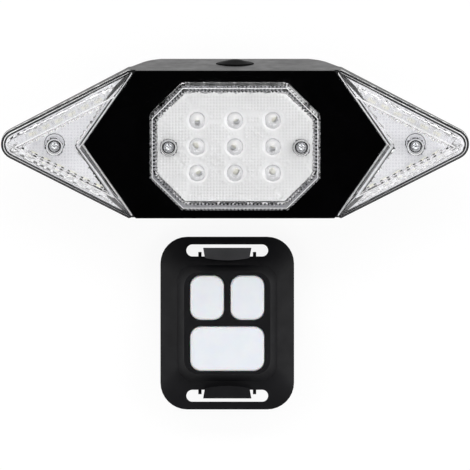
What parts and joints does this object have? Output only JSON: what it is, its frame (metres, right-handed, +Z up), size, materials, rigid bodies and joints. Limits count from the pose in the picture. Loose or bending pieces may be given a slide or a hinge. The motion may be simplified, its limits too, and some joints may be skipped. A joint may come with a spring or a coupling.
{
  "type": "bicycle turn signal light",
  "caption": "Diamond-shaped bicycle lamp with clear arrowhead side lenses, a cut-cornered centre lens and a seat post cradle, with its strap-on handlebar remote.",
  "frame": {"origin": "on the floor under the middle of the set's box, with lamp and remote lying on their backs", "axes": "+X along the lamp to the right of its face, +Y towards the lamp's upper edge, +Z up, out of the lamp's face; the remote leans 10 degrees on its pad"},
  "size_m": [0.156, 0.1208, 0.0445],
  "materials": {
    "housing": "moulded, fine satin",
    "bezel": "polished black",
    "lens": "clear, polished outside, ribbed inside",
    "seal": "soft flat seal",
    "clear_seal": "pale silicone, soft flat seal",
    "screw": "zinc plated",
    "reflector": "white, slightly shiny",
    "light": "clear resin",
    "chip": "pale yellow lights on white pads",
    "white_board": "white solder mask",
    "green_board": "green solder mask",
    "lead": "flat film lead",
    "pins": "gold plated pins",
    "battery": "foil pouch",
    "foam": "self-adhesive foam",
    "switch": "moulded case",
    "plunger": "moulded plunger",
    "rubber": "soft black rubber",
    "tin": "tinned sheet",
    "remote": "moulded, fine satin",
    "key": "white silicone"
  },
  "bodies": {
    "lamp": {"rear_housing": "housing", "front_bezel": "bezel", "bezel_seal": "seal", "left_lens": "lens", "right_lens": "lens", "left_lens_seal": "clear_seal", "right_lens_seal": "clear_seal", "centre_lens": "lens", "centre_lens_seal": "clear_seal", "lens_screw_washers": "seal", "centre_lens_screws": "screw", "side_lens_screws": "screw", "reflector_plate": "reflector", "light_board": "white_board", "round_lights": "light", "left_arm_board": "white_board", "right_arm_board": "white_board", "left_arm_lights": "chip", "right_arm_lights": "chip", "left_lead": "lead", "right_lead": "lead", "board_link": "pins", "main_board": "green_board", "main_board_screws": "screw", "battery": "battery", "battery_foam": "foam", "power_switch": "switch", "charging_socket": "tin", "flap_anchor": "rubber", "post_cradle": "housing", "cradle_lining": "rubber", "cradle_screws": "screw"},
    "power_button": {"power_button": "rubber", "switch_plunger": "plunger"},
    "socket_flap": {"socket_flap": "rubber"},
    "remote": {"remote_cover": "remote", "remote_base": "remote", "remote_seal": "seal", "remote_screws": "screw", "remote_board": "green_board", "key_switches": "switch", "coin_cell": "tin", "cell_clip": "tin", "handlebar_pad": "rubber"},
    "left_key": {"left_key": "key", "left_plunger": "plunger"},
    "right_key": {"right_key": "key", "right_plunger": "plunger"},
    "wide_key": {"wide_key": "key", "wide_plunger": "plunger"}
  },
  "joints": [
    {"name": "power_press", "type": "slide", "parent": "lamp", "child": "power_button", "axis": [0, -1, 0], "range_m": [0, 0.0006], "stiffness_N_per_m": 800, "springref_m": -0.0004},
    {"name": "flap_swing", "type": "hinge", "parent": "lamp", "child": "socket_flap", "pos_m": [0.0075, 0.009, 0.02223], "axis": [0, 0, 1], "range_deg": [0, 110]},
    {"name": "remote_lift", "type": "slide", "parent": "lamp", "child": "remote", "axis": [0, 0, 1], "range_m": [0, 0.1]},
    {"name": "left_key_press", "type": "slide", "parent": "remote", "child": "left_key", "axis": [0, -0.1736, -0.9848], "range_m": [0, 0.0006], "stiffness_N_per_m": 800, "springref_m": -0.0004},
    {"name": "right_key_press", "type": "slide", "parent": "remote", "child": "right_key", "axis": [0, -0.1736, -0.9848], "range_m": [0, 0.0006], "stiffness_N_per_m": 800, "springref_m": -0.0004},
    {"name": "wide_key_press", "type": "slide", "parent": "remote", "child": "wide_key", "axis": [0, -0.1736, -0.9848], "range_m": [0, 0.0006], "stiffness_N_per_m": 800, "springref_m": -0.0004}
  ]
}
